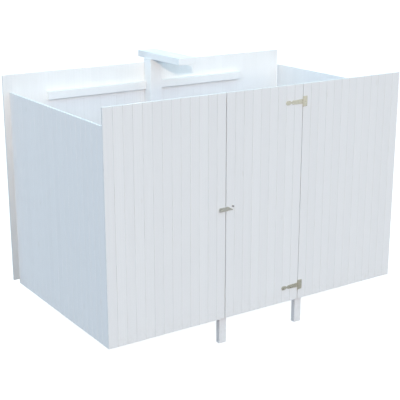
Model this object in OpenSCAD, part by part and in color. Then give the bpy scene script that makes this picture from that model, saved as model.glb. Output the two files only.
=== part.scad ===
// Carport storage shed
// A white timber shed for the back end of a carport: four board walls hung
// clear of the ground, a ledged door on T hinges with a hasp, and a centre
// post at the back that carries the stub of the carport's roof beam.
// All sizes are in millimetres, +Z is up and the front faces -Y.

/* [Walls] */

// Width of the front wall, outside to outside.
wall_width = 3600; // [3000:50:4200]
// Depth from the front face to the inner face of the back wall.
wall_depth = 2064; // [1700:4:2600]
// Height of the front wall's boards.
front_height = 2307; // [2200:1:2500]
// Height of the side walls' boards.
side_height = 2137; // [2000:1:2200]
// Height of the top edge of the back wall above the side walls' lower edge.
back_top = 2321; // [2250:1:2360]
// How far the back wall's boards stop above the side walls' lower edge.
back_lift = 47; // [0:1:120]
// How far the back wall runs out past the left side wall.
back_overhang = 65; // [0:5:120]
// Open slit between the back wall's right end and the right side wall.
back_slit = 22; // [0:1:30]
// Thickness of the wall boards.
board_thickness = 22; // [18:1:28]
// Clear height under the wall boards.
ground_gap = 276; // [120:2:400]

/* [Door] */

// Distance from the front wall's left end to the middle of the door's left seam.
door_from_left = 1333; // [1000:1:1500]
// Width of the door leaf.
door_width = 932; // [800:4:1000]
// Thickness of the door's boards.
door_thickness = 17; // [14:1:17]
// Gap at the latch side of the door.
latch_gap = 8; // [6:1:12]
// Gap at the hinge side of the door.
hinge_gap = 6; // [6:1:8]
// Height of the door's cross ledges.
ledge_height = 95; // [70:5:120]
// Thickness of the door's ledges and braces.
ledge_thickness = 22; // [18:1:28]

/* [Posts and rails] */

// Width of the door posts, seen from the front.
post_width = 85; // [60:5:90]
// Depth of the door posts, front to back.
door_post_depth = 56; // [45:1:70]
// Depth of all rails, front to back.
post_depth = 45; // [36:1:50]
// Height of the rails on the walls.
rail_height = 70; // [60:5:95]
// Side of the square battens in the corners.
corner_size = 45; // [36:1:60]
// Side of the square post at the back.
back_post_size = 145; // [100:5:150]
// Distance of the back post's left face from the front wall's left end.
back_post_from_left = 1641; // [1500:1:1800]
// Height of the upper rails on the back wall.
back_rail_height = 88; // [60:1:110]
// Lower edge of the upper rails on the back wall.
back_rail_level = 2020; // [1900:1:2120]
// Left end of the upper back rail, from the front wall's left end.
back_rail_start = 430; // [100:5:900]
// Right end of the upper back rail, from the front wall's left end.
back_rail_end = 2966; // [2300:1:3500]

/* [Roof beam] */

// Distance of the beam's left face from the front wall's left end.
beam_from_left = 1655; // [1600:1:1800]
// Width of the flat roof beam.
beam_width = 225; // [150:5:240]
// Height of the roof beam.
beam_height = 75; // [60:5:100]
// Length of the roof beam's stub.
beam_length = 870; // [500:10:1200]
// How far the beam runs out behind the back wall's inner face.
beam_tail = 152; // [60:1:200]

/* [Fittings] */

// Level of the top hinge above the lower edge of the front wall.
top_hinge_level = 2128; // [1900:1:2200]
// Level of the bottom hinge above the lower edge of the front wall.
bottom_hinge_level = 160; // [100:1:400]
// Length of the hinge straps from the pin to the tip.
strap_length = 218; // [150:1:300]
// Level of the hasp above the lower edge of the front wall.
hasp_level = 1156; // [900:1:1300]

/* [Hidden] */

$fn = 48;
t = board_thickness;
// The model's box in wall coordinates, used to centre it on the origin.
box_x0 = -back_overhang;
box_x1 = wall_width;
pin_axis_y = -6;
staple_r = 3;
staple_span = 12;            // half the distance between the staple's legs
staple_front = -12 - staple_span - staple_r;
box_y0 = staple_front;
box_y1 = wall_depth + beam_tail;
ox = -(box_x0 + box_x1) / 2;
oy = -(box_y0 + box_y1) / 2;
oz = ground_gap;

// Door leaf and the two fixed parts of the front wall.
left_wall_end = door_from_left - latch_gap / 2;
door_x0 = door_from_left + latch_gap / 2;
door_x1 = door_x0 + door_width;
right_wall_start = door_x1 + hinge_gap;
pin_axis_x = door_x1 + hinge_gap / 2;

// Door posts stand behind the boards and lap the door's edges as stops.
lp_x0 = door_x0 + 27 - post_width;
lp_x1 = lp_x0 + post_width;
rp_x0 = door_x1 - 11;
rp_x1 = rp_x0 + post_width;
post_top = front_height - 27;
head_z0 = post_top - rail_height;

// Ledges and braces of the door, clear of the posts.
ledge_clear = 8;
ledge_x0 = lp_x1 + ledge_clear;
ledge_x1 = rp_x0 - ledge_clear;
bottom_ledge_z = 110;
middle_ledge_z = 1080;
top_ledge_z = 2050;
brace_width = 95;

// Rails on the walls.
low_rail_z = 150;
side_high_rail_z = 1640;
front_high_rail_z = post_top - rail_height;
corner_z0 = back_lift;
front_corner_top = 2090;
back_corner_top = 1790;
in_y0 = t + corner_size;                // front corner battens end here
in_y1 = wall_depth - corner_size;       // back corner battens start here
bp_x0 = back_post_from_left;
bp_x1 = bp_x0 + back_post_size;
beam_z0 = back_top + 48;

// Fittings.
plate_t = 3;
knuckle_r = 6;
pin_r = 3.5;
bore_r = 3.6;
plate_half = 52.5;
strap_half = 24;
plate_reach = 54;
pad_r = 22;                  // round ends of the strap's pad
pad_length = 64;
neck_half = 10;

// Moves a piece given in wall coordinates (front wall's lower left outer
// corner at the origin) to the model's frame.
module place() { translate([ox, oy, oz]) children(); }

// A plain timber or slab given by its two corners.
module slab(x0, x1, y0, y1, z0, z1) {
    place() translate([x0, y0, z0]) cube([x1 - x0, y1 - y0, z1 - z0]);
}

module paint() { color([0.87, 0.89, 0.91]) children(); }
module steel() { color([0.55, 0.56, 0.52]) children(); }

// ---- walls -------------------------------------------------------------

module front_wall_left() paint()
    slab(0, left_wall_end, 0, t, 0, front_height);

module front_wall_right() paint()
    slab(right_wall_start, wall_width, 0, t, 0, front_height);

module left_wall() paint()
    slab(0, t, t, wall_depth, 0, side_height);

module right_wall() paint()
    slab(wall_width - t, wall_width, t, wall_depth + t, 0, side_height);

module back_wall() paint()
    slab(-back_overhang, wall_width - t - back_slit, wall_depth,
         wall_depth + t, back_lift, back_top);

// ---- frame timbers -----------------------------------------------------

module door_post(x0) paint()
    slab(x0, x0 + post_width, t, t + door_post_depth, -ground_gap, post_top);

module door_post_left() door_post(lp_x0);

module door_post_right() door_post(rp_x0);

module door_head_rail() paint()
    slab(lp_x1, rp_x0, t, t + post_depth, head_z0, post_top);

module back_post() paint()
    slab(bp_x0, bp_x1, wall_depth - back_post_size, wall_depth,
         -ground_gap, beam_z0);

module roof_beam() paint()
    slab(beam_from_left, beam_from_left + beam_width,
         wall_depth + beam_tail - beam_length,
         wall_depth + beam_tail, beam_z0, beam_z0 + beam_height);

module back_rail(x0, x1, z, h = rail_height) paint()
    slab(x0, x1, wall_depth - post_depth, wall_depth, z, z + h);

module back_upper_rail_left()
    back_rail(back_rail_start, bp_x0, back_rail_level, back_rail_height);

module back_upper_rail_right()
    back_rail(bp_x1, back_rail_end, back_rail_level, back_rail_height);

module back_lower_rail_left() back_rail(t + corner_size, bp_x0, low_rail_z);

module back_lower_rail_right()
    back_rail(bp_x1, wall_width - t - corner_size, low_rail_z);

module left_rail(z) paint()
    slab(t, t + post_depth, in_y0, in_y1, z, z + rail_height);

module left_upper_rail() left_rail(side_high_rail_z);

module left_lower_rail() left_rail(low_rail_z);

module right_rail(z) paint()
    slab(wall_width - t - post_depth, wall_width - t, in_y0, in_y1,
         z, z + rail_height);

module right_upper_rail() right_rail(side_high_rail_z);

module right_lower_rail() right_rail(low_rail_z);

module front_rail(x0, x1, z) paint()
    slab(x0, x1, t, t + post_depth, z, z + rail_height);

module front_left_upper_rail()
    front_rail(t + corner_size, lp_x0, front_high_rail_z);

module front_left_lower_rail()
    front_rail(t + corner_size, lp_x0, low_rail_z);

module front_right_upper_rail()
    front_rail(rp_x1, wall_width - t - corner_size, front_high_rail_z);

module front_right_lower_rail()
    front_rail(rp_x1, wall_width - t - corner_size, low_rail_z);

module front_left_corner_post() paint()
    slab(t, t + corner_size, t, t + corner_size, corner_z0, front_corner_top);

module front_right_corner_post() paint()
    slab(wall_width - t - corner_size, wall_width - t, t, t + corner_size,
         corner_z0, front_corner_top);

module back_left_corner_post() paint()
    slab(t, t + corner_size, wall_depth - corner_size, wall_depth,
         corner_z0, back_corner_top);

module back_right_corner_post() paint()
    slab(wall_width - t - corner_size, wall_width - t,
         wall_depth - corner_size, wall_depth, corner_z0, back_corner_top);

// ---- door --------------------------------------------------------------

module door_boards() paint()
    slab(door_x0, door_x1, 0, door_thickness, 0, front_height);

module door_ledge(z) paint()
    slab(ledge_x0, ledge_x1, door_thickness, door_thickness + ledge_thickness,
         z, z + ledge_height);

module door_top_ledge() door_ledge(top_ledge_z);

module door_middle_ledge() door_ledge(middle_ledge_z);

module door_bottom_ledge() door_ledge(bottom_ledge_z);

// A sloping brace between two ledges; its foot is at the hinge side.
module door_brace(z0, z1) paint() place()
    translate([0, door_thickness + ledge_thickness, 0]) rotate([90, 0, 0])
        linear_extrude(ledge_thickness)
            polygon([[ledge_x1 - brace_width, z0], [ledge_x1, z0],
                     [ledge_x0 + brace_width, z1], [ledge_x0, z1]]);

module door_lower_brace()
    door_brace(bottom_ledge_z + ledge_height, middle_ledge_z);

module door_upper_brace()
    door_brace(middle_ledge_z + ledge_height, top_ledge_z);

// ---- T hinges ----------------------------------------------------------

// Fixed plate of a hinge with its two knuckles, at the level z.
module hinge_plate(z) steel() place() translate([pin_axis_x, 0, z])
    difference() {
        union() {
            difference() {
                translate([0, -plate_t, -plate_half])
                    cube([plate_reach, plate_t, 2 * plate_half]);
                translate([-1, -plate_t - 1, -strap_half - 0.5])
                    cube([9, plate_t + 2, 2 * strap_half + 1]);
            }
            for (s = [-plate_half, strap_half + 0.5])
                translate([0, pin_axis_y, s])
                    cylinder(r = knuckle_r, h = plate_half - strap_half - 0.5);
        }
        translate([0, pin_axis_y, -plate_half - 1])
            cylinder(r = bore_r, h = 2 * plate_half + 2);
    }

// Long strap of a hinge: it narrows a little, then has a neck and a pad with
// round ends at its tip.
module hinge_strap(z) steel() place() translate([pin_axis_x, 0, z])
    difference() {
        union() {
            rotate([90, 0, 0]) linear_extrude(plate_t)
                polygon([[0, -strap_half], [0, strap_half],
                         [-strap_length + pad_length + 22, pad_r - 1],
                         [-strap_length + pad_length + 12, neck_half],
                         [-strap_length + pad_length - 6, neck_half],
                         [-strap_length + pad_length - 6, -neck_half],
                         [-strap_length + pad_length + 12, -neck_half],
                         [-strap_length + pad_length + 22, -pad_r + 1]]);
            for (x = [pad_r, pad_length - pad_r])
                translate([-strap_length + x, 0, 0]) rotate([90, 0, 0])
                    cylinder(r = pad_r, h = plate_t);
            translate([-strap_length + pad_r, -plate_t, -pad_r])
                cube([pad_length - 2 * pad_r, plate_t, 2 * pad_r]);
            translate([0, pin_axis_y, -strap_half])
                cylinder(r = knuckle_r, h = 2 * strap_half);
        }
        translate([0, pin_axis_y, -strap_half - 1])
            cylinder(r = bore_r, h = 2 * strap_half + 2);
    }

// Pin with a head at each end, resting on the fixed knuckles.
module hinge_pin(z) steel() place() translate([pin_axis_x, pin_axis_y, z]) {
    translate([0, 0, -plate_half - 2]) cylinder(r = pin_r, h = 2 * plate_half + 4);
    for (s = [-plate_half - 2, plate_half])
        translate([0, 0, s]) cylinder(r = knuckle_r - 0.8, h = 2);
}

module top_hinge_plate() hinge_plate(top_hinge_level);

module bottom_hinge_plate() hinge_plate(bottom_hinge_level);

module top_hinge_strap() hinge_strap(top_hinge_level);

module bottom_hinge_strap() hinge_strap(bottom_hinge_level);

module top_hinge_pin() hinge_pin(top_hinge_level);

module bottom_hinge_pin() hinge_pin(bottom_hinge_level);

// ---- hasp and knob -----------------------------------------------------

hasp_x = door_x0 + 8;        // the hasp's pin, just inside the door's edge
leaf_half = 21.5;
leaf_knuckle = 9.5;
flange_half = 20.5;
staple_x = hasp_x - 69;

// Tapered flange on the door with two knuckles.
module hasp_flange() steel() place() translate([hasp_x, 0, hasp_level])
    difference() {
        union() {
            difference() {
                rotate([90, 0, 0]) linear_extrude(plate_t)
                    polygon([[0, -flange_half], [68, -flange_half],
                             [75, -flange_half + 3], [75, -14], [62, -9],
                             [14, flange_half], [0, flange_half]]);
                translate([-1, -plate_t - 1, -leaf_knuckle - 0.5])
                    cube([9, plate_t + 2, 2 * leaf_knuckle + 1]);
            }
            for (s = [-flange_half, leaf_knuckle + 0.5])
                translate([0, pin_axis_y, s])
                    cylinder(r = knuckle_r,
                             h = flange_half - leaf_knuckle - 0.5);
        }
        translate([0, pin_axis_y, -flange_half - 1])
            cylinder(r = 2.6, h = 2 * flange_half + 2);
    }

// Slotted leaf that folds over the staple.
module hasp_leaf() steel() place() translate([hasp_x, 0, hasp_level])
    difference() {
        union() {
            translate([-94, pin_axis_y - 4, -leaf_half])
                cube([84, plate_t, 2 * leaf_half]);
            translate([-12, pin_axis_y - 4, -leaf_knuckle])
                cube([10, plate_t, 2 * leaf_knuckle]);
            translate([0, pin_axis_y, -leaf_knuckle])
                cylinder(r = knuckle_r, h = 2 * leaf_knuckle);
        }
        translate([0, pin_axis_y, -leaf_knuckle - 1])
            cylinder(r = 2.6, h = 2 * leaf_knuckle + 2);
        translate([-69 - 21, pin_axis_y - 5, -8])
            cube([42, plate_t + 2, 16]);
    }

// Staple on the fixed wall: a thin base and a round-bar loop.
module hasp_staple() steel() place() translate([staple_x, 0, hasp_level]) {
    translate([-20, -2, -14]) cube([40, 2, 28]);
    for (s = [-1, 1])
        translate([s * staple_span, -1, 0]) rotate([90, 0, 0])
            cylinder(r = staple_r, h = 11);
    translate([0, -12, 0]) rotate([0, 0, 180])
        rotate_extrude(angle = 180) translate([staple_span, 0])
            circle(r = staple_r);
}

module hasp_pin() steel() place()
    translate([hasp_x, pin_axis_y, hasp_level]) {
        translate([0, 0, -flange_half - 2])
            cylinder(r = 2.5, h = 2 * flange_half + 4);
        for (s = [-flange_half - 2, flange_half])
            translate([0, 0, s]) cylinder(r = 4.6, h = 2);
    }

// Small turned pull knob on the door.
module door_knob() color([0.3, 0.31, 0.32]) place()
    translate([hasp_x + 70, 0, hasp_level + 20]) rotate([90, 0, 0]) {
        cylinder(r = 8, h = 2);
        cylinder(r = 4.5, h = 10);
        translate([0, 0, 7]) cylinder(r1 = 5.5, r2 = 9, h = 4);
        translate([0, 0, 11]) cylinder(r = 9, h = 4);
        translate([0, 0, 15]) cylinder(r1 = 9, r2 = 6, h = 3);
    }

// ---- pieces ------------------------------------------------------------

front_wall_left();
front_wall_right();
left_wall();
right_wall();
back_wall();
door_post_left();
door_post_right();
door_head_rail();
back_post();
roof_beam();
back_upper_rail_left();
back_upper_rail_right();
back_lower_rail_left();
back_lower_rail_right();
left_upper_rail();
left_lower_rail();
right_upper_rail();
right_lower_rail();
front_left_upper_rail();
front_left_lower_rail();
front_right_upper_rail();
front_right_lower_rail();
front_left_corner_post();
front_right_corner_post();
back_left_corner_post();
back_right_corner_post();
top_hinge_plate();
bottom_hinge_plate();
top_hinge_pin();
bottom_hinge_pin();
hasp_staple();
door_boards();
door_top_ledge();
door_middle_ledge();
door_bottom_ledge();
door_upper_brace();
door_lower_brace();
top_hinge_strap();
bottom_hinge_strap();
hasp_flange();
hasp_pin();
door_knob();
hasp_leaf();
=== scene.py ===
import math
import random

import bmesh
import bpy
from mathutils import Matrix, Vector
from mathutils.geometry import tessellate_polygon


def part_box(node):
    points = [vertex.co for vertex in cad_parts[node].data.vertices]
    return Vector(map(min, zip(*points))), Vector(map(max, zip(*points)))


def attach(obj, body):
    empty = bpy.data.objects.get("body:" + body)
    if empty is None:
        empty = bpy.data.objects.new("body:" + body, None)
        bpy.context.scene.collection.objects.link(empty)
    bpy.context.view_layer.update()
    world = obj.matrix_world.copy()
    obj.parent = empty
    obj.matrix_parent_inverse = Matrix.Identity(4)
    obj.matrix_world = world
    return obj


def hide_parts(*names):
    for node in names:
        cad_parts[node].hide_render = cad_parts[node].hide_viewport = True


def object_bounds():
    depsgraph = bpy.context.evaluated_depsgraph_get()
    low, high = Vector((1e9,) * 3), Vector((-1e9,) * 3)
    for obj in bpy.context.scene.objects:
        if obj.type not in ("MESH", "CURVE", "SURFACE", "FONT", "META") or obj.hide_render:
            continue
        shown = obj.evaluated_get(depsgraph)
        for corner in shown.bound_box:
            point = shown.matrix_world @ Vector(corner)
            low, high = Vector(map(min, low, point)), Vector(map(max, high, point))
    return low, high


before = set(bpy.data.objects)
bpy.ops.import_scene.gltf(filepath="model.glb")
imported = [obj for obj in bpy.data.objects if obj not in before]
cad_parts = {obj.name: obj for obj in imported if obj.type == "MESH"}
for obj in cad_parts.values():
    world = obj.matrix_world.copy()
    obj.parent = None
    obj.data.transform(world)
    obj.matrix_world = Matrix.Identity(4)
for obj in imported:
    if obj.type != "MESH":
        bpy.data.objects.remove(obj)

cad_lo, cad_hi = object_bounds()
MM = 0.001
Z = Vector((0.0, 0.0, 1.0))

# ---------------------------------------------------------------------------
# mesh builder: every piece is made here from its own points and faces
# ---------------------------------------------------------------------------


class Build:
    """Collects points, faces, a material number and three values for each point."""

    def __init__(self):
        self.v, self.f, self.m, self.s = [], [], [], []
        # per point: a board's random tone, groove (dust and painted shade in the joints) and painted shade low on a
        # board
        self.board, self.groove, self.painted_foot_shade = [], [], []

    def point(self, p, board=0.0, groove=0.0, painted_foot_shade=0.0):
        self.v.append(tuple(p))
        self.board.append(board)
        self.groove.append(groove)
        self.painted_foot_shade.append(painted_foot_shade)
        return len(self.v) - 1

    def face(self, ids, mat=0, smooth=False):
        self.f.append(tuple(ids))
        self.m.append(mat)
        self.s.append(smooth)

    def strip(self, a, b, mat=0, smooth=False, closed=True):
        n = len(a)
        for i in range(n if closed else n - 1):
            j = (i + 1) % n
            self.face((a[i], a[j], b[j], b[i]), mat, smooth)

    def make(self, name, materials, body, *nodes, slot="white_painted_wood", sharp=38):
        mesh = bpy.data.meshes.new(name)
        mesh.from_pydata(self.v, [], self.f)
        mesh.polygons.foreach_set("material_index", self.m)
        mesh.polygons.foreach_set("use_smooth", self.s)
        for key, values in (("board", self.board), ("groove", self.groove), ("painted_foot_shade", self.painted_foot_shade)):
            att = mesh.attributes.new(key, "FLOAT", "POINT")
            att.data.foreach_set("value", values)
        for m in materials:
            mesh.materials.append(m)
        mesh.validate()
        mesh.update()
        obj = bpy.data.objects.new(name, mesh)
        bpy.context.scene.collection.objects.link(obj)
        bm = bmesh.new()
        bm.from_mesh(mesh)
        bmesh.ops.recalc_face_normals(bm, faces=bm.faces)
        limit = math.radians(sharp)
        for e in bm.edges:
            f = e.link_faces
            e.smooth = len(f) == 2 and f[0].smooth and f[1].smooth and e.calc_face_angle(9.0) < limit
        bm.to_mesh(mesh)
        bm.free()
        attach(obj, body)
        if nodes:
            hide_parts(*nodes)
        return obj


# ---------------------------------------------------------------------------
# materials
# ---------------------------------------------------------------------------


def new_material(name):
    mat = bpy.data.materials.new(name)
    mat.use_nodes = True
    tree = mat.node_tree
    tree.nodes.clear()
    out = tree.nodes.new("ShaderNodeOutputMaterial")
    bsdf = tree.nodes.new("ShaderNodeBsdfPrincipled")
    tree.links.new(bsdf.outputs[0], out.inputs[0])
    return mat, tree, bsdf


class Nodes:
    """Short names for the node types used below."""

    def __init__(self, tree):
        self.t = tree

    def link(self, a, b):
        if isinstance(a, bpy.types.NodeSocket):
            self.t.links.new(a, b)
        else:
            b.default_value = a

    def math(self, op, a, b=0.0, clamp=False):
        n = self.t.nodes.new("ShaderNodeMath")
        n.operation = op
        n.use_clamp = clamp
        self.link(a, n.inputs[0])
        self.link(b, n.inputs[1])
        return n.outputs[0]

    def noise(self, vec, scale, detail=3.0, rough=0.55, dist=0.0):
        n = self.t.nodes.new("ShaderNodeTexNoise")
        self.link(vec, n.inputs["Vector"])
        n.inputs["Scale"].default_value = scale
        n.inputs["Detail"].default_value = detail
        n.inputs["Roughness"].default_value = rough
        n.inputs["Distortion"].default_value = dist
        return n.outputs[0]

    def voronoi(self, vec, scale, feature="F1", rand=1.0):
        n = self.t.nodes.new("ShaderNodeTexVoronoi")
        n.feature = feature
        self.link(vec, n.inputs["Vector"])
        n.inputs["Scale"].default_value = scale
        n.inputs["Randomness"].default_value = rand
        return n

    def wave(self, vec, scale, dist, detail=2.0, dscale=1.0, axis="Z"):
        n = self.t.nodes.new("ShaderNodeTexWave")
        n.wave_type = "RINGS"
        n.rings_direction = axis
        self.link(vec, n.inputs["Vector"])
        n.inputs["Scale"].default_value = scale
        n.inputs["Distortion"].default_value = dist
        n.inputs["Detail"].default_value = detail
        n.inputs["Detail Scale"].default_value = dscale
        return n.outputs[1]

    def range(self, v, a, b, c, d):
        n = self.t.nodes.new("ShaderNodeMapRange")
        self.link(v, n.inputs[0])
        for i, x in enumerate((a, b, c, d)):
            n.inputs[i + 1].default_value = x
        return n.outputs[0]

    def mapping(self, vec, scale=(1, 1, 1), rot=(0, 0, 0), loc=(0, 0, 0)):
        n = self.t.nodes.new("ShaderNodeMapping")
        self.link(vec, n.inputs[0])
        n.inputs[1].default_value = loc
        n.inputs[2].default_value = rot
        n.inputs[3].default_value = scale
        return n.outputs[0]

    def vec(self, op, a, b=None, scale=None):
        n = self.t.nodes.new("ShaderNodeVectorMath")
        n.operation = op
        self.link(a, n.inputs[0])
        if b is not None:
            self.link(b, n.inputs[1])
        if scale is not None:
            self.link(scale, n.inputs["Scale"])
        return n.outputs[0]

    def mix(self, fac, a, b, kind="MIX"):
        n = self.t.nodes.new("ShaderNodeMix")
        n.data_type = "RGBA"
        n.blend_type = kind
        self.link(fac, n.inputs[0])
        for x, i in ((a, 6), (b, 7)):
            self.link(x if isinstance(x, bpy.types.NodeSocket) else (*x, 1.0), n.inputs[i])
        return n.outputs[2]

    def attribute(self, name):
        n = self.t.nodes.new("ShaderNodeAttribute")
        n.attribute_name = name
        return n.outputs["Fac"]

    def bump(self, height, distance, strength=1.0, normal=None):
        n = self.t.nodes.new("ShaderNodeBump")
        n.inputs["Strength"].default_value = strength
        n.inputs["Distance"].default_value = distance
        self.link(height, n.inputs["Height"])
        if normal is not None:
            self.link(normal, n.inputs["Normal"])
        return n.outputs[0]


GROUND = cad_lo.z
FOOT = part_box("left_wall")[0].z  # lower edge of the walls


def paint(name, axis="Z", turn=0.0, end=False, base=(0.902, 0.904, 0.906)):
    """White outdoor paint over planed timber. The grain runs along axis, and turn tips it about Y."""
    mat, tree, bsdf = new_material(name)
    n = Nodes(tree)
    tc = tree.nodes.new("ShaderNodeTexCoord").outputs["Object"]
    board = n.attribute("board")
    groove = n.attribute("groove")
    shift = n.vec("SCALE", (3.1, 5.7, 11.3), scale=board)
    here = n.vec("ADD", tc, shift)
    if turn:
        here = n.mapping(here, rot=(0, turn, 0))
    along = {"X": (0.07, 1, 1), "Y": (1, 0.07, 1), "Z": (1, 1, 0.07)}[axis]
    longer = {"X": (0.02, 1, 1), "Y": (1, 0.02, 1), "Z": (1, 1, 0.02)}[axis]
    if end:
        along = longer = (1, 1, 1)
    grain = n.mapping(here, scale=along)
    streak = n.mapping(here, scale=longer)
    rings = n.wave(grain, 34.0 if not end else 48.0, 7.0 if not end else 2.2, 2.0, 0.55, axis)
    fibre = n.noise(streak, 700.0 if not end else 900.0, 3.0, 0.6)
    brush = n.noise(streak, 230.0 if not end else 300.0, 2.0, 0.5)
    cloud = n.noise(here, 2.3, 3.0, 0.55)
    patch = n.noise(here, 9.0, 2.0, 0.5)
    # knots telegraph faintly through the paint
    cells = n.voronoi(n.mapping(here, scale={"X": (0.42, 1, 1), "Y": (1, 0.42, 1), "Z": (1, 1, 0.42)}[axis]), 5.2)
    knot = n.range(cells.outputs["Distance"], 0.045, 0.085, 1.0, 0.0)
    knot_rim = n.range(n.math("ABSOLUTE", n.math("SUBTRACT", cells.outputs["Distance"], 0.075)), 0.0, 0.022, 1.0, 0.0)
    # tone: thin paint over dark rings, lighter and darker boards, weathering
    tone = n.math("ADD", n.math("MULTIPLY", rings, -0.016), 1.008)
    tone = n.math("ADD", tone, n.math("MULTIPLY", n.math("SUBTRACT", fibre, 0.5), 0.030))
    tone = n.math("ADD", tone, n.math("MULTIPLY", n.math("SUBTRACT", brush, 0.5), 0.030))
    tone = n.math("ADD", tone, n.math("MULTIPLY", n.math("SUBTRACT", cloud, 0.5), 0.022))
    tone = n.math("ADD", tone, n.math("MULTIPLY", n.math("SUBTRACT", board, 0.5), 0.022))
    tone = n.math("ADD", tone, n.math("MULTIPLY", knot, -0.020))
    tone = n.math("ADD", tone, n.math("MULTIPLY", knot_rim, -0.012))
    col = n.mix(1.0, base, n.vec("SCALE", (1.0, 1.0, 1.0), scale=tone), "MULTIPLY")
    col = n.mix(n.math("MULTIPLY", knot, 0.16, True), col, (0.80, 0.765, 0.69))
    col = n.mix(n.range(patch, 0.52, 0.78, 0.0, 0.10), col, (0.815, 0.825, 0.815))
    # dust and painted shade in the grooves and joints
    col = n.mix(n.math("MULTIPLY", groove, n.range(patch, 0.3, 0.7, 0.16, 0.28), True), col, (0.52, 0.535, 0.545))
    # painted shade: the inside of the back wall's first board greys towards its foot, standing in for the shade it sits
    # in
    foot_shade_fac = n.math("MULTIPLY", n.attribute("painted_foot_shade"), n.range(cloud, 0.3, 0.7, 0.96, 1.04))
    col = n.mix(foot_shade_fac, col, (0.50, 0.55, 0.585))
    # splashes low on the walls
    sep = tree.nodes.new("ShaderNodeSeparateXYZ")
    tree.links.new(tc, sep.inputs[0])
    low = n.range(sep.outputs[2], FOOT + 0.01, FOOT + 0.26, 1.0, 0.0)
    spray = n.range(n.noise(here, 26.0, 4.0, 0.62), 0.46, 0.74, 0.0, 1.0)
    low = n.math("MULTIPLY", n.math("POWER", low, 2.0), n.math("MULTIPLY", spray, 0.22), True)
    col = n.mix(low, col, (0.62, 0.60, 0.555))
    if end:
        col = n.mix(n.range(n.noise(here, 160.0, 3.0), 0.5, 0.8, 0.0, 0.22), col, (0.74, 0.73, 0.70))
    tree.links.new(col, bsdf.inputs["Base Color"])
    rough = n.math("ADD", n.range(brush, 0.2, 0.8, 0.40, 0.54), n.math("MULTIPLY", groove, 0.18))
    rough = n.math("ADD", rough, n.math("MULTIPLY", low, 0.5), True)
    tree.links.new(rough, bsdf.inputs["Roughness"])
    bsdf.inputs["Specular IOR Level"].default_value = 0.2
    height = n.math("ADD", n.math("MULTIPLY", rings, 0.55), n.math("MULTIPLY", fibre, 0.55))
    height = n.math("ADD", height, n.math("MULTIPLY", brush, 0.8))
    height = n.math("ADD", height, n.math("MULTIPLY", knot, -0.7))
    height = n.math("ADD", height, n.math("MULTIPLY", patch, 0.6))
    tree.links.new(n.bump(height, 0.00035 if not end else 0.0007, 0.75), bsdf.inputs["Normal"])
    return mat


def zinc(name, base=(0.63, 0.625, 0.535), rough=0.30):
    """Hot-dip zinc: soft spangle, faint rolling lines, dull film and a few brown specks."""
    mat, tree, bsdf = new_material(name)
    n = Nodes(tree)
    tc = tree.nodes.new("ShaderNodeTexCoord").outputs["Object"]
    warp = n.vec("ADD", tc, n.vec("SCALE", (1.0, 1.0, 1.0), scale=n.math("MULTIPLY", n.noise(tc, 90.0), 0.004)))
    spangle = n.voronoi(warp, 150.0)
    fine = n.voronoi(warp, 420.0)
    film = n.noise(tc, 38.0, 4.0, 0.6)
    lines = n.noise(n.mapping(tc, scale=(0.04, 1, 1)), 2600.0, 2.0, 0.5)
    speck = n.range(n.noise(tc, 330.0, 2.0, 0.6), 0.70, 0.78, 0.0, 1.0)
    cell = tree.nodes.new("ShaderNodeSeparateColor")
    tree.links.new(spangle.outputs["Color"], cell.inputs[0])
    cell2 = tree.nodes.new("ShaderNodeSeparateColor")
    tree.links.new(fine.outputs["Color"], cell2.inputs[0])
    tone = n.math("ADD", n.range(cell.outputs[0], 0, 1, 0.90, 1.06), n.range(cell2.outputs[0], 0, 1, -0.03, 0.03))
    col = n.mix(1.0, base, n.vec("SCALE", (1.0, 1.0, 1.0), scale=tone), "MULTIPLY")
    col = n.mix(n.range(film, 0.42, 0.72, 0.0, 0.45), col, (0.53, 0.525, 0.455))
    col = n.mix(n.math("MULTIPLY", speck, 0.45), col, (0.30, 0.19, 0.11))
    tree.links.new(col, bsdf.inputs["Base Color"])
    bsdf.inputs["Metallic"].default_value = 0.78
    r = n.math("ADD", n.range(cell.outputs[1], 0, 1, rough - 0.05, rough + 0.06), n.range(film, 0.4, 0.75, 0.0, 0.16))
    r = n.math("ADD", r, n.math("MULTIPLY", speck, 0.25), True)
    tree.links.new(r, bsdf.inputs["Roughness"])
    height = n.math("ADD", n.math("MULTIPLY", cell.outputs[2], 0.25), n.math("MULTIPLY", lines, 0.35))
    height = n.math("ADD", height, n.math("MULTIPLY", film, 0.8))
    height = n.math("ADD", height, n.math("MULTIPLY", speck, 0.5))
    tree.links.new(n.bump(height, 0.00012, 0.8), bsdf.inputs["Normal"])
    return mat


def iron(name):
    """Grey cast metal, rubbed a little brighter on its crown."""
    mat, tree, bsdf = new_material(name)
    n = Nodes(tree)
    tc = tree.nodes.new("ShaderNodeTexCoord").outputs["Object"]
    pit = n.noise(tc, 900.0, 3.0, 0.6)
    soft = n.noise(tc, 120.0, 3.0, 0.55)
    geo = tree.nodes.new("ShaderNodeNewGeometry")
    rub = n.range(geo.outputs["Pointiness"], 0.52, 0.60, 0.0, 1.0)
    col = n.mix(n.range(soft, 0.3, 0.75, 0.0, 1.0), (0.30, 0.31, 0.325), (0.37, 0.38, 0.395))
    col = n.mix(n.math("MULTIPLY", rub, 0.5, True), col, (0.48, 0.48, 0.475))
    tree.links.new(col, bsdf.inputs["Base Color"])
    bsdf.inputs["Metallic"].default_value = 0.55
    tree.links.new(n.range(soft, 0.25, 0.8, 0.30, 0.48), bsdf.inputs["Roughness"])
    tree.links.new(n.bump(n.math("ADD", pit, n.math("MULTIPLY", soft, 1.5)), 0.00015, 0.7), bsdf.inputs["Normal"])
    return mat


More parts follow.
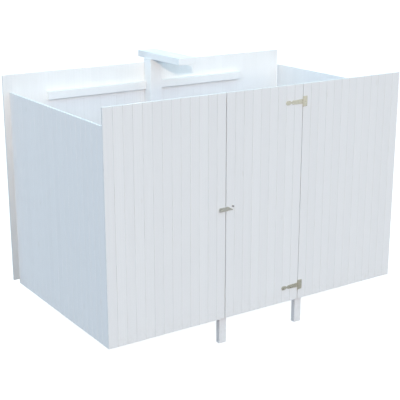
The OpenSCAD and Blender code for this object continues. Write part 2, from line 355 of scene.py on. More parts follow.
PAINT_Z = paint("paint_grain_up", "Z")
PAINT_X = paint("paint_grain_across", "X")
PAINT_Y = paint("paint_grain_deep", "Y")
END_Z = paint("paint_end_of_upright", "Z", end=True)
END_X = paint("paint_end_of_cross_rail", "X", end=True)
END_Y = paint("paint_end_of_side_rail", "Y", end=True)
ZINC = zinc("zinc_plate")
ZINC_LATCH = zinc("zinc_latch", base=(0.56, 0.575, 0.545), rough=0.32)
ZINC_SCREW = zinc("zinc_screw", base=(0.56, 0.555, 0.49), rough=0.28)
IRON = iron("dark_grey_iron")
PAINTS = {"X": PAINT_X, "Y": PAINT_Y, "Z": PAINT_Z}
ENDS = {"X": END_X, "Y": END_Y, "Z": END_Z}

# ---------------------------------------------------------------------------
# board walls
# ---------------------------------------------------------------------------


def nail_head(b, at, out, r=3.4 * MM, rise=0.45 * MM, mat=0, board=0.0, sides=10):
    """A painted-over nail head: a low dome facing out."""
    side = out.orthogonal().normalized()
    up = out.cross(side)
    rings = []
    # the sunken ring carries groove: dust and painted shade where the head meets the board
    for rad, h in ((r, -0.4 * MM), (r, rise * 0.35), (r * 0.72, rise * 0.9)):
        rings.append([
            b.point(at + (side * math.cos(a) + up * math.sin(a)) * rad + out * h, board, 0.25 if h < 0 else 0.0)
            for a in (2 * math.pi * i / sides for i in range(sides))
        ])
    b.strip(rings[0], rings[1], mat, True)
    b.strip(rings[1], rings[2], mat, True)
    top = b.point(at + out * rise, board)
    for i in range(sides):
        b.face((rings[2][i], rings[2][(i + 1) % sides], top), mat, True)
    b.face(tuple(reversed(rings[0])), mat)


def board_wall(name, node, body, side, count, nail_rows, seed, chamfer=2.3, gap=0.6, trim=(0.0, 0.0),
               inner=(0.5, 0.6), shaded_foot=False):
    """A wall of tongued boards that stand side by side inside the node's slab.
    Their outer edges are chamfered, so each joint shows as a V groove.
    trim planes the first and the last board back, to ease the gaps round the door,
    inner holds the arris and the dust and painted shade of the inside's joints, and shaded_foot
    paints shade on the inside of the first board, darker towards its foot."""
    lo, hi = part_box(node)
    rng = random.Random(seed)
    if side == "front":
        org, u, v = Vector((lo.x, lo.y, lo.z)), Vector((1, 0, 0)), Vector((0, 1, 0))
        width, t = hi.x - lo.x, hi.y - lo.y
    elif side == "back":
        org, u, v = Vector((lo.x, hi.y, lo.z)), Vector((1, 0, 0)), Vector((0, -1, 0))
        width, t = hi.x - lo.x, hi.y - lo.y
    elif side == "left":
        org, u, v = Vector((lo.x, lo.y, lo.z)), Vector((0, 1, 0)), Vector((1, 0, 0))
        width, t = hi.y - lo.y, hi.x - lo.x
    else:
        org, u, v = Vector((hi.x, lo.y, lo.z)), Vector((0, 1, 0)), Vector((-1, 0, 0))
        width, t = hi.y - lo.y, hi.x - lo.x
    height = hi.z - lo.z
    pitch = width / count
    b = Build()
    tm = t / MM
    tongue0, tongue1 = 0.40 * tm, 0.62 * tm
    for i in range(count):
        board = rng.random()
        first, last = i == 0, i == count - 1
        a0 = i * pitch / MM + (trim[0] if first else gap / 2 + rng.uniform(-0.15, 0.15))
        a1 = (i + 1) * pitch / MM - (trim[1] if last else gap / 2 + rng.uniform(-0.15, 0.15))
        c0 = 1.4 if first else chamfer + rng.uniform(-0.25, 0.25)
        c1 = 1.4 if last else chamfer + rng.uniform(-0.25, 0.25)
        d0 = rng.uniform(0.0, 0.42)
        d1 = tm - rng.uniform(0.08, 0.45)
        ci, joint_dust_shade = inner
        # (u, v, groove); once round the section; groove puts dust and painted shade on the chamfers and joints
        sec = [
            (a0, d0 + c0, 1.0), (a0 + c0, d0, 0.35), (a0 + c0 + 2.2, d0, 0.0),
            (a1 - c1 - 2.2, d0, 0.0), (a1 - c1, d0, 0.35), (a1, d0 + c1, 1.0),
        ]
        if not last:
            sec += [(a1, tongue0, 1.0), (a1 + 4.6, tongue0 + 0.5, 1.0), (a1 + 4.6, tongue1 - 0.5, 1.0), (a1, tongue1, 1.0)]
        sec += [
            (a1, d1 - ci, joint_dust_shade), (a1 - ci, d1, joint_dust_shade / 6), (a1 - ci - 2.2, d1, 0.0),
            (a0 + ci + 2.2, d1, 0.0), (a0 + ci, d1, joint_dust_shade / 6), (a0, d1 - ci, joint_dust_shade),
        ]
        if not first:
            sec += [(a0, tongue1 + 0.3, 1.0), (a0 + 5.4, tongue1 + 0.1, 1.0), (a0 + 5.4, tongue0 - 0.1, 1.0), (a0, tongue0 - 0.3, 1.0)]
        z0 = rng.uniform(0.0, 1.1) * MM
        z1 = height - rng.uniform(0.0, 0.7) * MM
        lean = rng.uniform(-0.25, 0.25)
        rings = []
        steps = [(z0, 1.0), (z0 + 1.2 * MM, 0.0)]
        steps += [(height * k / 8, 0.0) for k in range(1, 8)]
        steps += [(z1 - 1.2 * MM, 0.0), (z1, 1.0)]
        for k, (z, pull) in enumerate(steps):
            bow = 0.18 * math.sin(math.pi * z / height) * (lean + 0.25)
            ring = []
            for (su, sv, sg) in sec:
                vv = sv + bow
                if pull:
                    vv = min(max(vv, d0 + 0.9), d1 - 0.9)
                vv = min(max(vv, 0.0), tm)
                # painted shade: the inside face of the first board greys towards its foot
                painted_foot_shade = 0.85 * (1.0 - (z / height) ** 1.7) if shaded_foot and first and sv > d1 - ci - 0.01 else 0.0
                ring.append(b.point(org + u * (su * MM) + v * (vv * MM) + Z * z, board, sg, max(0.0, painted_foot_shade)))
            rings.append(ring)
        for k in range(len(rings) - 1):
            b.strip(rings[k], rings[k + 1], 0)
        b.face(tuple(reversed(rings[0])), 1)
        b.face(tuple(rings[-1]), 1)
        for z in nail_rows:
            for q in (0.24, 0.76):
                x = (a0 + (a1 - a0) * q + rng.uniform(-2.5, 2.5)) * MM
                zz = z - lo.z + rng.uniform(-5, 5) * MM
                depth = (d0 + 0.18 * math.sin(math.pi * zz / height) * (lean + 0.25)) * MM
                rise = min(0.42 * MM, max(0.02 * MM, depth - 0.04 * MM)) if side == "right" else 0.42 * MM
                nail_head(b, org + u * x + v * (depth + 0.02 * MM) + Z * zz, -v, rise=rise, board=board)
    return b.make(name, [PAINT_Z, END_Z], body, node)


def mid(node, axis=2):
    lo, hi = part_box(node)
    return (lo[axis] + hi[axis]) / 2


rows_front = [mid("front_left_lower_rail"), mid("front_left_upper_rail")]
rows_side = [mid("left_lower_rail"), mid("left_upper_rail")]
rows_back = [mid("back_lower_rail_left"), mid("back_upper_rail_left")]
rows_door = [mid("door_bottom_ledge"), mid("door_middle_ledge"), mid("door_top_ledge")]

board_wall("front_wall_boards_left", "front_wall_left", "frame", "front", 13, rows_front, 11)
board_wall("front_wall_boards_right", "front_wall_right", "frame", "front", 13, rows_front, 12, trim=(0.9, 0.0))
board_wall("left_wall_boards", "left_wall", "frame", "left", 20, rows_side, 13, chamfer=2.9)
board_wall("right_wall_boards", "right_wall", "frame", "right", 20, rows_side, 14, chamfer=2.9)
# the back wall's first board carries painted shade low on its inside
board_wall("back_wall_boards", "back_wall", "frame", "back", 35, rows_back, 15, gap=0.3,
           inner=(0.15, 0.1), shaded_foot=True)
board_wall("door_leaf_boards", "door_boards", "door", "front", 9, rows_door, 16, trim=(1.8, 0.0))

# ---------------------------------------------------------------------------
# planed timbers
# ---------------------------------------------------------------------------


def timber(name, node, body, axis, seed, r=3.0, end_cut=1.8, fixings=(), covered=False):
    """A planed post, rail or beam: rounded arrises, a small cut round both ends
    and faces that are a hair out of true. It stays inside its node's box.
    covered tells whether its screws were painted over."""
    lo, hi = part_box(node)
    rng = random.Random(seed)
    k = "XYZ".index(axis)
    i, j = [q for q in (0, 1, 2) if q != k]
    n0, n1 = lo[k], hi[k]
    length = n1 - n0
    wi, wj = (hi[i] - lo[i]) / MM, (hi[j] - lo[j]) / MM
    board = rng.random()
    b = Build()
    arc = [(1 - math.cos(a), 1 - math.sin(a)) for a in (0, math.pi / 6, math.pi / 3, math.pi / 2)]

    def section(inset, jit):
        pts = []
        # corners in turn
        for (sx, sy, flip) in ((0, 0, False), (1, 0, True), (1, 1, False), (0, 1, True)):
            corner = []
            for (ax, ay) in arc:
                corner.append((r * ax, r * ay))
            if flip:
                corner = [(y, x) for (x, y) in corner]
                corner.reverse()
            quad = []
            for (x, y) in corner:
                px = inset + x if sx == 0 else wi - inset - x
                py = inset + y if sy == 0 else wj - inset - y
                quad.append((px + jit[0], py + jit[1]))
            pts.append(quad)
        return pts

    count = max(3, int(length / 0.22) + 1)
    stations = [(0.0, end_cut), (end_cut * MM, 0.0)]
    stations += [(length * q / count, 0.0) for q in range(1, count)]
    stations += [(length - end_cut * MM, 0.0), (length, end_cut)]
    rings = []
    for (s, inset) in stations:
        wob = (0.12 + rng.uniform(-0.12, 0.12), 0.12 + rng.uniform(-0.12, 0.12)) if inset == 0 else (0.12, 0.12)
        pts = section(inset + 0.12, (wob[0] - 0.12, wob[1] - 0.12))
        loop = pts[0] + pts[1] + pts[2] + pts[3]
        ring = []
        for (px, py) in _ordered(loop, wi, wj):
            p = Vector((0, 0, 0))
            p[i] = lo[i] + min(max(px, 0.0), wi) * MM
            p[j] = lo[j] + min(max(py, 0.0), wj) * MM
            p[k] = n0 + s
            ring.append(b.point(p, board, 0.22))
        rings.append(ring)
    m = len(rings[0])
    for q in range(len(rings) - 1):
        for a in range(m):
            c = (a + 1) % m
            flat = (a % 4) == 3
            b.face((rings[q][a], rings[q][c], rings[q + 1][c], rings[q + 1][a]), 0, not flat)
    b.face(tuple(reversed(rings[0])), 1)
    b.face(tuple(rings[-1]), 1)
    for (at, out, size) in fixings:
        screw_head(b, at, out, size, mat=0 if covered else 2)
    return b.make(name, [PAINTS[axis], ENDS[axis], ZINC_SCREW], body, node)


def _ordered(points, wi, wj):
    """Sorts a section's corner points by their angle about its middle, starting
    so that each run of four is one corner."""
    cx, cy = wi / 2, wj / 2

    def key(p):
        # angle scaled so that the four corners fall in four equal sectors
        return math.atan2((p[1] - cy) / wj, (p[0] - cx) / wi)

    pts = sorted(points, key=key)
    return pts


def screw_head(b, at, out, r=4.4, mat=0, dome=1.1, turn=0.35):
    """A raised countersunk screw head with a cross recess."""
    side = out.orthogonal().normalized()
    side = Matrix.Rotation(turn, 3, out) @ side
    up = out.cross(side)
    arm, half = 0.62 * r, 0.15 * r
    t0 = math.atan2(half, arm)
    angles = []
    for q in range(4):
        base = q * math.pi / 2
        angles += [base - t0, base, base + t0, base + math.pi / 4]
    angles = sorted(a % (2 * math.pi) for a in angles)

    def cross(a, grow=1.0):
        a = (a + math.pi / 4) % (math.pi / 2) - math.pi / 4
        if abs(math.tan(a)) <= half / arm + 1e-9:
            return arm * grow / math.cos(a)
        return half * grow / abs(math.sin(a))

    def ring(radius, h):
        return [
            b.point(at + (side * math.cos(a) + up * math.sin(a)) * ((radius(a) if callable(radius) else radius) * MM) + out * (h * MM))
            for a in angles
        ]

    rings = [
        ring(r, -0.5), ring(r, 0.12 * dome), ring(r * 0.86, 0.62 * dome),
        ring(lambda a: max(cross(a), 0.3 * r) if cross(a) < 0.66 * r else cross(a), dome * 0.92),
        ring(lambda a: cross(a), dome * 0.95), ring(lambda a: cross(a, 0.86), -0.25),
    ]
    for a, c, smooth in ((0, 1, True), (1, 2, True), (2, 3, True), (3, 4, False), (4, 5, False)):
        b.strip(rings[a], rings[c], mat, smooth)
    b.face(tuple(rings[5]), mat)
    b.face(tuple(reversed(rings[0])), mat)


def along(node, axis, face_axis, sign, count, size=4.2, margin=0.06, rows=1, proud=0.0):
    """Places for screws in a row on one face of a node."""
    lo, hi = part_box(node)
    k, f = "XYZ".index(axis), "XYZ".index(face_axis)
    o = [q for q in (0, 1, 2) if q not in (k, f)][0]
    out = Vector((0, 0, 0))
    out[f] = sign
    found = []
    for c in range(count):
        for row in range(rows):
            p = Vector((0, 0, 0))
            p[k] = lo[k] + margin + (hi[k] - lo[k] - 2 * margin) * (c / max(1, count - 1))
            p[f] = (hi[f] if sign > 0 else lo[f]) - sign * (0.25 * MM)
            w = (hi[o] - lo[o])
            p[o] = lo[o] + w * ((row + 1) / (rows + 1) if rows > 1 else (0.36 if c % 2 else 0.64))
            found.append((p, out, size))
    return found


timber("left_door_post", "door_post_left", "frame", "Z", 21)
timber("right_door_post", "door_post_right", "frame", "Z", 22)
timber("head_rail_over_door", "door_head_rail", "frame", "X", 23, fixings=along("door_head_rail", "X", "Y", 1, 4))
timber("back_centre_post", "back_post", "frame", "Z", 24, r=4.0)
timber("carport_roof_beam", "roof_beam", "frame", "Y", 25, r=4.0, end_cut=2.2)
timber("back_rail_upper_left", "back_upper_rail_left", "frame", "X", 26, fixings=along("back_upper_rail_left", "X", "Y", -1, 4), covered=True)
timber("back_rail_upper_right", "back_upper_rail_right", "frame", "X", 27, fixings=along("back_upper_rail_right", "X", "Y", -1, 4), covered=True)
timber("back_rail_lower_left", "back_lower_rail_left", "frame", "X", 28, fixings=along("back_lower_rail_left", "X", "Y", -1, 5), covered=True)
timber("back_rail_lower_right", "back_lower_rail_right", "frame", "X", 29, fixings=along("back_lower_rail_right", "X", "Y", -1, 5), covered=True)
timber("left_rail_upper", "left_upper_rail", "frame", "Y", 30, fixings=along("left_upper_rail", "Y", "X", 1, 5))
timber("left_rail_lower", "left_lower_rail", "frame", "Y", 31, fixings=along("left_lower_rail", "Y", "X", 1, 5))
timber("right_rail_upper", "right_upper_rail", "frame", "Y", 32, fixings=along("right_upper_rail", "Y", "X", -1, 5))
timber("right_rail_lower", "right_lower_rail", "frame", "Y", 33, fixings=along("right_lower_rail", "Y", "X", -1, 5))
timber("front_rail_upper_left", "front_left_upper_rail", "frame", "X", 34, fixings=along("front_left_upper_rail", "X", "Y", 1, 4))
timber("front_rail_lower_left", "front_left_lower_rail", "frame", "X", 35, fixings=along("front_left_lower_rail", "X", "Y", 1, 4))
timber("front_rail_upper_right", "front_right_upper_rail", "frame", "X", 36, fixings=along("front_right_upper_rail", "X", "Y", 1, 4))
timber("front_rail_lower_right", "front_right_lower_rail", "frame", "X", 37, fixings=along("front_right_lower_rail", "X", "Y", 1, 4))
timber("corner_batten_front_left", "front_left_corner_post", "frame", "Z", 38, fixings=along("front_left_corner_post", "Z", "Y", 1, 5, 3.8))
timber("corner_batten_front_right", "front_right_corner_post", "frame", "Z", 39, fixings=along("front_right_corner_post", "Z", "Y", 1, 5, 3.8))
timber("corner_batten_back_left", "back_left_corner_post", "frame", "Z", 40, fixings=along("back_left_corner_post", "Z", "Y", -1, 5, 3.8))
timber("corner_batten_back_right", "back_right_corner_post", "frame", "Z", 41, fixings=along("back_right_corner_post", "Z", "Y", -1, 5, 3.8))
timber("door_ledge_top", "door_top_ledge", "door", "X", 42, fixings=along("door_top_ledge", "X", "Y", 1, 9, 3.4, 0.045, 2))
timber("door_ledge_middle", "door_middle_ledge", "door", "X", 43, fixings=along("door_middle_ledge", "X", "Y", 1, 9, 3.4, 0.045, 2))
timber("door_ledge_bottom", "door_bottom_ledge", "door", "X", 44, fixings=along("door_bottom_ledge", "X", "Y", 1, 9, 3.4, 0.045, 2))


def inset_outline(pts, d):
    """Moves each point of a closed outline inward by d, along the middle of its two sides."""
    area = sum(pts[i][0] * pts[(i + 1) % len(pts)][1] - pts[(i + 1) % len(pts)][0] * pts[i][1] for i in range(len(pts)))
    s = 1.0 if area > 0 else -1.0
    out = []
    n = len(pts)
    for i in range(n):
        p0, p1, p2 = pts[i - 1], pts[i], pts[(i + 1) % n]
        e1 = Vector((p1[0] - p0[0], p1[1] - p0[1])).normalized()
        e2 = Vector((p2[0] - p1[0], p2[1] - p1[1])).normalized()
        n1, n2 = Vector((-e1.y, e1.x)) * s, Vector((-e2.y, e2.x)) * s
        m = n1 + n2
        if m.length < 1e-6:
            m = n1
        m = m.normalized()
        k = d / max(0.35, m.dot(n1))
        out.append((p1[0] + m.x * k, p1[1] + m.y * k))
    return out


def plate(b, outline, place, back, front, bevel=0.5, mat=0, holes=(), both=False, board=0.0, groove=0.0):
    """A flat plate from an outline in mm: back and front are its two depths, and
    its front edge (or both) is eased by bevel. place(x, z, depth) gives the point."""
    loops = [outline] + list(holes)
    sgn = 1.0 if front > back else -1.0
    levels = []
    if both:
        levels.append((back, bevel))
        levels.append((back + sgn * bevel, 0.0))
    else:
        levels.append((back, 0.0))
    levels.append((front - sgn * bevel, 0.0))
    levels.append((front, bevel))
    made = []
    for (depth, ins) in levels:
        row = []
        for h, loop in enumerate(loops):
            pts = inset_outline(loop, ins if h == 0 else -ins) if ins else loop
            row.append([b.point(place(x, z, depth), board, groove) for (x, z) in pts])
        made.append(row)
    for q in range(len(made) - 1):
        for h in range(len(loops)):
            b.strip(made[q][h], made[q + 1][h], mat, True)
    for q in (0, -1):
        flat = [i for loop in made[q] for i in loop]
        tris = tessellate_polygon([[Vector((*b.v[i],)) for i in loop] for loop in made[q]])
        for t in tris:
            b.face(tuple(flat[x] for x in t), mat, True)


def rounded(pts, radii, steps=5):
    """An outline whose corners are rounded; radii holds one radius for each corner."""
    out = []
    n = len(pts)
    for i in range(n):
        p0, p1, p2 = Vector(pts[i - 1]), Vector(pts[i]), Vector(pts[(i + 1) % n])
        r = radii[i]
        if r <= 0:
            out.append(tuple(p1))
            continue
        a, c = (p0 - p1).normalized(), (p2 - p1).normalized()
        ang = math.acos(max(-1, min(1, a.dot(c))))
        d = min(r / math.tan(ang / 2), 0.48 * (p0 - p1).length, 0.48 * (p2 - p1).length)
        s, e = p1 + a * d, p1 + c * d
        for q in range(steps + 1):
            t = q / steps
            w = (s * (1 - t) ** 2) + (p1 * 2 * t * (1 - t)) + (e * t ** 2)
            out.append((w.x, w.y))
    return out


def brace(name, node, body, seed):
    """A door brace: a sloping piece whose foot stands at the hinge side."""
    lo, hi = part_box(node)
    w = 95.0
    width, height = (hi.x - lo.x) / MM, (hi.z - lo.z) / MM
    outline = [(width - w, 0.0), (width, 0.0), (w, height), (0.0, height)]
    rng = random.Random(seed)
    b = Build()

    def place(x, z, depth):
        return Vector((lo.x + x * MM, lo.y + depth * MM, lo.z + z * MM))

    plate(b, outline, place, 0.0, (hi.y - lo.y) / MM, bevel=2.2, both=False, board=rng.random(), groove=0.12)
    for q in range(1, 6):
        f = q / 6.0
        cx = (width - w / 2) * (1 - f) + (w / 2) * f
        for sx in (-20, 20):
            screw_head(b, place(cx + sx, height * f, (hi.y - lo.y) / MM - 0.1), Vector((0, 1, 0)), 3.4, mat=1)
    turn = math.atan2(width - w, height)
    mat = paint("paint_" + name, "Z", turn=turn)
    obj = b.make(name, [mat, ZINC_SCREW], body, node)
    for p in obj.data.polygons:
        if p.material_index == 0:
            p.use_smooth = False
    return obj


brace("door_brace_upper", "door_upper_brace", "door", 51)
brace("door_brace_lower", "door_lower_brace", "door", 52)

# ---------------------------------------------------------------------------
# T hinges
# ---------------------------------------------------------------------------


def tube(b, at, axis, length, r_out, r_in, mat=0, sides=28, ease=0.35):
    """A rolled knuckle: a short tube with eased ends."""
    side = axis.orthogonal().normalized()
    up = axis.cross(side)
    prof = [(r_in + ease, 0.0), (r_out - ease, 0.0), (r_out, ease), (r_out, length - ease), (r_out - ease, length), (r_in + ease, length), (r_in, length - ease), (r_in, ease)]
    rings = []
    for (r, h) in prof:
        rings.append([
            b.point(at + axis * (h * MM) + (side * math.cos(a) + up * math.sin(a)) * (r * MM))
            for a in (2 * math.pi * i / sides for i in range(sides))
        ])
    for q in range(len(rings)):
        b.strip(rings[q], rings[(q + 1) % len(rings)], mat, True)


def lathe(b, at, axis, profile, mat=0, sides=32, cap=True):
    """A turned shape: profile holds (radius, height) in mm from one end to the other."""
    side = axis.orthogonal().normalized()
    up = axis.cross(side)
    rings = []
    for (r, h) in profile:
        rings.append([
            b.point(at + axis * (h * MM) + (side * math.cos(a) + up * math.sin(a)) * (r * MM))
            for a in (2 * math.pi * i / sides for i in range(sides))
        ])
    for q in range(len(rings) - 1):
        b.strip(rings[q], rings[q + 1], mat, True)
    if cap:
        b.face(tuple(reversed(rings[0])), mat, True)
        b.face(tuple(rings[-1]), mat, True)


def hinge(tag):
    plo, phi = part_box(tag + "_hinge_plate")
    slo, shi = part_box(tag + "_hinge_strap")
    nlo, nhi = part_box(tag + "_hinge_pin")
    ax = Vector(((nlo.x + nhi.x) / 2, (nlo.y + nhi.y) / 2, (nlo.z + nhi.z) / 2))
    face_y = phi.y                      # the boards' face
    t = 3.0
    half = (phi.z - plo.z) / 2 / MM     # half the plate's height
    root = 24.0                         # half the strap's height at its root
    reach = (phi.x - ax.x) / MM
    tip = (ax.x - slo.x) / MM

    def place(x, z, depth):
        return Vector((ax.x + x * MM, face_y - depth * MM, ax.z + z * MM))

    out = Vector((0, -1, 0))
    # fixed plate, notched round the strap's knuckle
    b = Build()
    r0 = root + 0.5
    outline = rounded(
        [(0, -half), (reach, -half), (reach, half), (0, half), (0, r0), (7.0, r0), (7.0, -r0), (0, -r0)],
        [0, 5, 5, 0, 0, 1.5, 1.5, 0])
    plate(b, outline, place, 0.0, t, bevel=0.45)
    kl = half - r0
    tube(b, Vector((ax.x, ax.y, ax.z - half * MM)), Z, kl, 6.0, 3.65)
    tube(b, Vector((ax.x, ax.y, ax.z + r0 * MM)), Z, kl, 6.0, 3.65)
    k = 0
    for (x, z) in ((18, 41), (40, 30), (20, 11), (40, -4), (18, -26), (40, -41)):
        k += 1
        screw_head(b, place(x, z, t - 0.15), out, 4.3, mat=1, turn=0.7 * k)
    b.make(tag + "_hinge_fixed_plate", [ZINC, ZINC_SCREW], "frame", tag + "_hinge_plate", slot="galvanised_steel", sharp=35)
    # pin
    b = Build()
    h = (nhi.z - nlo.z) / MM
    lathe(b, Vector((ax.x, ax.y, nlo.z)), Z, [(3.2, 0), (4.9, 0.35), (5.2, 1.0), (5.2, 1.9), (3.5, 2.0), (3.5, h - 2.0), (5.2, h - 1.9), (5.2, h - 1.0), (4.9, h - 0.35), (3.2, h)])
    b.make(tag + "_hinge_riveted_pin", [ZINC_SCREW], "frame", tag + "_hinge_pin", slot="galvanised_steel", sharp=35)
    # strap: it narrows a little to its shoulder, then a neck and a pad with round ends
    b = Build()
    pr, plen, neck = 22.0, 64.0, 10.0
    x0 = -tip
    shoulder = x0 + plen + 22.0
    side_in = x0 + plen - pr + math.sqrt(pr * pr - neck * neck)
    top = [(0, root), (shoulder, pr - 1.0), (x0 + plen + 12.0, neck), (side_in, neck)]
    arc1 = [(x0 + plen - pr + pr * math.cos(a), pr * math.sin(a))
            for a in (math.asin(neck / pr) + (math.pi / 2 - math.asin(neck / pr)) * q / 6 for q in range(1, 7))]
    arc2 = [(x0 + pr + pr * math.cos(a), pr * math.sin(a)) for a in (math.pi / 2 + math.pi / 2 * q / 10 for q in range(0, 10))]
    upper = rounded(top, [0, 4, 4, 0], 4) + arc1 + arc2
    lower = [(x, -z) for (x, z) in reversed(upper)]
    outline = upper + [(x0, 0.0)] + lower
    plate(b, outline, place, 0.0, t, bevel=0.45)
    tube(b, Vector((ax.x, ax.y, ax.z - root * MM)), Z, 2 * root, 6.0, 3.65)
    spots = [(-20, 12.0), (-20, -12.0), (-62, 0.0), (-104, 0.0), (x0 + pr + 2, 0.0), (x0 + plen - pr - 2, 0.0)]
    for k, (x, z) in enumerate(spots):
        screw_head(b, place(x, z, t - 0.15), out, 4.5, mat=1, turn=0.5 + 0.9 * k)
    b.make(tag + "_hinge_long_strap", [ZINC, ZINC_SCREW], "door", tag + "_hinge_strap", slot="galvanised_steel", sharp=35)


hinge("top")
hinge("bottom")

# ---------------------------------------------------------------------------
# hasp, staple and knob
# ---------------------------------------------------------------------------

flo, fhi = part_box("hasp_flange")
llo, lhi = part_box("hasp_leaf")
tlo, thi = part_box("hasp_staple")
qlo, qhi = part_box("hasp_pin")
hx, hy, hz = (qlo.x + qhi.x) / 2, (qlo.y + qhi.y) / 2, (qlo.z + qhi.z) / 2
door_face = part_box("door_boards")[0].y
OUT = Vector((0, -1, 0))


def at_hasp(x, z, depth):
    return Vector((hx + x * MM, door_face - depth * MM, hz + z * MM))


# flange on the door
b = Build()
fh = (fhi.z - flo.z) / 2 / MM
fl = (fhi.x - hx) / MM
outline = rounded(
    [(0, -fh), (fl - 7, -fh), (fl, -fh + 3), (fl, -14), (fl - 13, -9), (14, fh), (0, fh), (0, 10), (7, 10), (7, -10), (0, -10)],
    [0, 3, 2, 2, 6, 6, 0, 0, 1.5, 1.5, 0])
plate(b, outline, at_hasp, 0.0, 3.0, bevel=0.45)
tube(b, Vector((hx, hy, hz - fh * MM)), Z, fh - 10.0, 6.0, 2.65)
tube(b, Vector((hx, hy, hz + 10.0 * MM)), Z, fh - 10.0, 6.0, 2.65)
for k, (x, z) in enumerate(((15, 10), (15, -14), (39, -10), (62, -15))):
    screw_head(b, at_hasp(x, z, 2.85), OUT, 3.7, mat=1, turn=0.4 + k)
b.make("hasp_door_flange", [ZINC_LATCH, ZINC_SCREW], "door", "hasp_flange", slot="galvanised_steel", sharp=35)

# pin
b = Build()
h = (qhi.z - qlo.z) / MM
lathe(b, Vector((hx, hy, qlo.z)), Z, [(2.6, 0), (4.2, 0.35), (4.6, 0.9), (4.6, 1.9), (2.5, 2.0), (2.5, h - 2.0), (4.6, h - 1.9), (4.6, h - 0.9), (4.2, h - 0.35), (2.6, h)], sides=24)
b.make("hasp_riveted_pin", [ZINC_SCREW], "door", "hasp_pin", slot="galvanised_steel", sharp=35)

# folding leaf with its slot
b = Build()
x0 = (llo.x - hx) / MM
lh = (lhi.z - llo.z) / 2 / MM
kn = 9.5
outer = rounded(
    [(x0, -lh), (-10, -lh), (-10, -kn), (-2, -kn), (-2, kn), (-10, kn), (-10, lh), (x0, lh)],
    [5.5, 4, 1.5, 0, 0, 1.5, 4, 5.5])
sx = ((tlo.x + thi.x) / 2 - hx) / MM
slot_hole = rounded([(sx - 21, -8), (sx + 21, -8), (sx + 21, 8), (sx - 21, 8)], [7.5] * 4, 6)
plate(b, outer, at_hasp, 7.0, 10.0, bevel=0.45, both=True, holes=[slot_hole])
tube(b, Vector((hx, hy, hz - kn * MM)), Z, 2 * kn, 6.0, 2.65)
b.make("hasp_slotted_leaf", [ZINC_LATCH, ZINC_SCREW], "hasp", "hasp_leaf", slot="galvanised_steel", sharp=35)

# staple: a base plate and a bent round bar
b = Build()


def at_staple(x, z, depth):
    return Vector(((tlo.x + thi.x) / 2 + x * MM, thi.y - depth * MM, hz + z * MM))


bw, bh = (thi.x - tlo.x) / 2 / MM, (thi.z - tlo.z) / 2 / MM
plate(b, rounded([(-bw, -bh), (bw, -bh), (bw, bh), (-bw, bh)], [4] * 4, 5), at_staple, 0.0, 2.0, bevel=0.4)
path = [(-12.0, 0.5)] + [(-12.0, d) for d in (4.0, 8.0, 12.0)]
path += [(-12.0 * math.cos(a), 12.0 + 12.0 * math.sin(a)) for a in (math.pi * q / 16 for q in range(1, 16))]
path += [(12.0, d) for d in (12.0, 8.0, 4.0, 0.5)]
rings = []
for q, (x, d) in enumerate(path):
    a = path[max(0, q - 1)]
    c = path[min(len(path) - 1, q + 1)]
    tan = Vector((c[0] - a[0], -(c[1] - a[1]), 0)).normalized()
    nrm = tan.cross(Z).normalized()
    ctr = at_staple(x, 0.0, d)
    rings.append([b.point(ctr + (nrm * math.cos(w) + Z * math.sin(w)) * (2.95 * MM)) for w in (2 * math.pi * i / 16 for i in range(16))])
for q in range(len(rings) - 1):
    b.strip(rings[q], rings[q + 1], 0, True)
b.face(tuple(reversed(rings[0])), 0)
b.face(tuple(rings[-1]), 0)
for (x, z) in ((-15, 9), (15, 9), (-15, -9), (15, -9)):
    screw_head(b, at_staple(x, z, 1.9), OUT, 2.9, mat=1, dome=0.7, turn=x + z)
b.make("hasp_wall_staple", [ZINC_LATCH, ZINC_SCREW], "frame", "hasp_staple", slot="galvanised_steel", sharp=35)

# turned pull knob
b = Build()
klo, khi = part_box("door_knob")
kc = Vector(((klo.x + khi.x) / 2, khi.y, (klo.z + khi.z) / 2))
kd = (khi.y - klo.y) / MM
knob = [(0.0, 0.0), (8.0, 0.0), (8.0, 1.0), (7.7, 1.6), (7.0, 2.0), (5.6, 2.4), (4.8, 3.2), (4.4, 4.6), (4.4, 6.4), (4.9, 8.0),
        (6.2, 9.4), (7.9, 10.7), (8.7, 11.9), (9.0, 13.1), (8.9, 14.3), (8.3, 15.6), (7.0, 16.7), (4.9, 17.5), (2.4, kd - 0.12), (0.0, kd)]
lathe(b, kc, OUT, [(max(r, 0.02), h) for (r, h) in knob], sides=40)
b.make("turned_pull_knob", [IRON], "door", "door_knob", slot="dark_iron", sharp=50)

# ---------------------------------------------------------------------------
# floor, light and camera
# ---------------------------------------------------------------------------

scene = bpy.context.scene
scene.view_settings.view_transform = "Standard"
scene.view_settings.look = "None"
scene.view_settings.exposure = 0.0
scene.view_settings.gamma = 1.0

mesh = bpy.data.meshes.new("floor")
radii = [0.0, 2.0, 4.0, 8.0, 20.0, 60.0, 200.0]
verts, faces = [(0.0, 0.0, 0.0)], []
for r in radii[1:]:
    verts += [(r * math.cos(2 * math.pi * i / 64), r * math.sin(2 * math.pi * i / 64), 0.0) for i in range(64)]
faces += [(0, 1 + i, 1 + (i + 1) % 64) for i in range(64)]
for k in range(len(radii) - 2):
    o = 1 + 64 * k
    faces += [(o + i, o + 64 + i, o + 64 + (i + 1) % 64, o + (i + 1) % 64) for i in range(64)]
mesh.from_pydata(verts, [], faces)
floor = bpy.data.objects.new("floor", mesh)
floor.location.z = GROUND
scene.collection.objects.link(floor)
fm, ft, fb = new_material("pale_floor")
fn = Nodes(ft)
fb.inputs["Base Color"].default_value = (0.35, 0.35, 0.35, 1)
fb.inputs["Roughness"].default_value = 1.0
fb.inputs["Specular IOR Level"].default_value = 0.0
fb.inputs["Emission Color"].default_value = (1, 1, 1, 1)
fb.inputs["Emission Strength"].default_value = 0.84
mesh.materials.append(fm)
floor.visible_diffuse = False
floor.visible_glossy = False
floor.visible_shadow = False

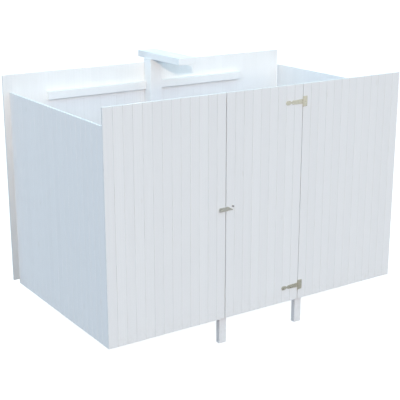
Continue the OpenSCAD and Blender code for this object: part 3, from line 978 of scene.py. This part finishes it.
world = bpy.data.worlds.new("studio")
scene.world = world
world.use_nodes = True
wt = world.node_tree
wt.nodes.clear()
wout = wt.nodes.new("ShaderNodeOutputWorld")
wn = Nodes(wt)
wtc = wt.nodes.new("ShaderNodeTexCoord").outputs["Generated"]
wsep = wt.nodes.new("ShaderNodeSeparateXYZ")
wt.links.new(wtc, wsep.inputs[0])
UP = 1.7


def glow(stops):
    """A soft dome whose brightness depends only on the height above the horizon."""
    ramp = wt.nodes.new("ShaderNodeValToRGB")
    wt.links.new(wn.range(wsep.outputs[2], -1, 1, 0, 1), ramp.inputs[0])
    els = ramp.color_ramp.elements
    while len(els) < len(stops):
        els.new(0.5)
    for e, (z, c) in zip(els, stops):
        e.position = (z + 1) / 2
        e.color = (c[0] / UP, c[1] / UP, c[2] / UP, 1)
    back = wt.nodes.new("ShaderNodeBackground")
    wt.links.new(ramp.outputs[0], back.inputs[0])
    back.inputs[1].default_value = UP
    return back


soft = glow([
    (-1.0, (0.075, 0.075, 0.13)), (-0.4, (0.075, 0.075, 0.13)), (-0.1, (0.02, 0.02, 0.03)), (0.05, (0.43, 0.68, 0.86)),
    (0.4, (1.12, 1.35, 1.66)), (0.75, (0.98, 1.28, 1.44)), (1.0, (0.50, 0.95, 0.92)),
])
# what shiny metal sees: a pale studio, with a floor that gets darker near the feet
shine = glow([
    (-1.0, (0.06, 0.06, 0.06)), (-0.37, (0.07, 0.07, 0.07)), (-0.22, (1.18, 1.18, 1.16)), (0.10, (1.18, 1.18, 1.16)),
    (0.6, (1.0, 1.1, 1.2)), (1.0, (0.9, 1.0, 1.05)),
])
white = wt.nodes.new("ShaderNodeBackground")
white.inputs[0].default_value = (1, 1, 1, 1)
white.inputs[1].default_value = 1.0
lp = wt.nodes.new("ShaderNodeLightPath")
mixs = wt.nodes.new("ShaderNodeMixShader")
wt.links.new(lp.outputs["Is Camera Ray"], mixs.inputs[0])
mixg = wt.nodes.new("ShaderNodeMixShader")
wt.links.new(lp.outputs["Is Glossy Ray"], mixg.inputs[0])
wt.links.new(soft.outputs[0], mixg.inputs[1])
wt.links.new(shine.outputs[0], mixg.inputs[2])
wt.links.new(mixg.outputs[0], mixs.inputs[1])
wt.links.new(white.outputs[0], mixs.inputs[2])
wt.links.new(mixs.outputs[0], wout.inputs[0])


def sun(name, travel, energy, colour, angle):
    data = bpy.data.lights.new(name, "SUN")
    data.energy = energy
    data.color = colour
    data.angle = math.radians(angle)
    obj = bpy.data.objects.new(name, data)
    obj.rotation_mode = "QUATERNION"
    obj.rotation_quaternion = Vector(travel).to_track_quat("-Z", "Y")
    obj.location = (-4, -8, 6)
    scene.collection.objects.link(obj)
    return obj


sun("key_light", (0.577, 1.0, -0.326), 0.930, (1.0, 0.746, 0.567), 1.6)
sun("low_front_light", (0.2, 1.0, -0.125), 0.275, (1.0, 0.56, 0.07), 6.0)
sun("back_fill", (-0.45, -1.0, -0.05), 0.80, (1.0, 0.82, 0.66), 8.0)

cam_data = bpy.data.cameras.new("camera")
cam_data.sensor_width = 36.0
cam_data.lens = 86.59
cam_data.clip_start = 0.1
cam_data.clip_end = 600.0
cam = bpy.data.objects.new("camera", cam_data)
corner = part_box("front_wall_left")[0]  # the front wall's lower left outer corner
cam.location = corner + Vector((-3.882, -7.358, 3.905))
cam.rotation_euler = (math.radians(90 - 16.418), 0.0, math.radians(-33.719))
scene.collection.objects.link(cam)
scene.camera = cam
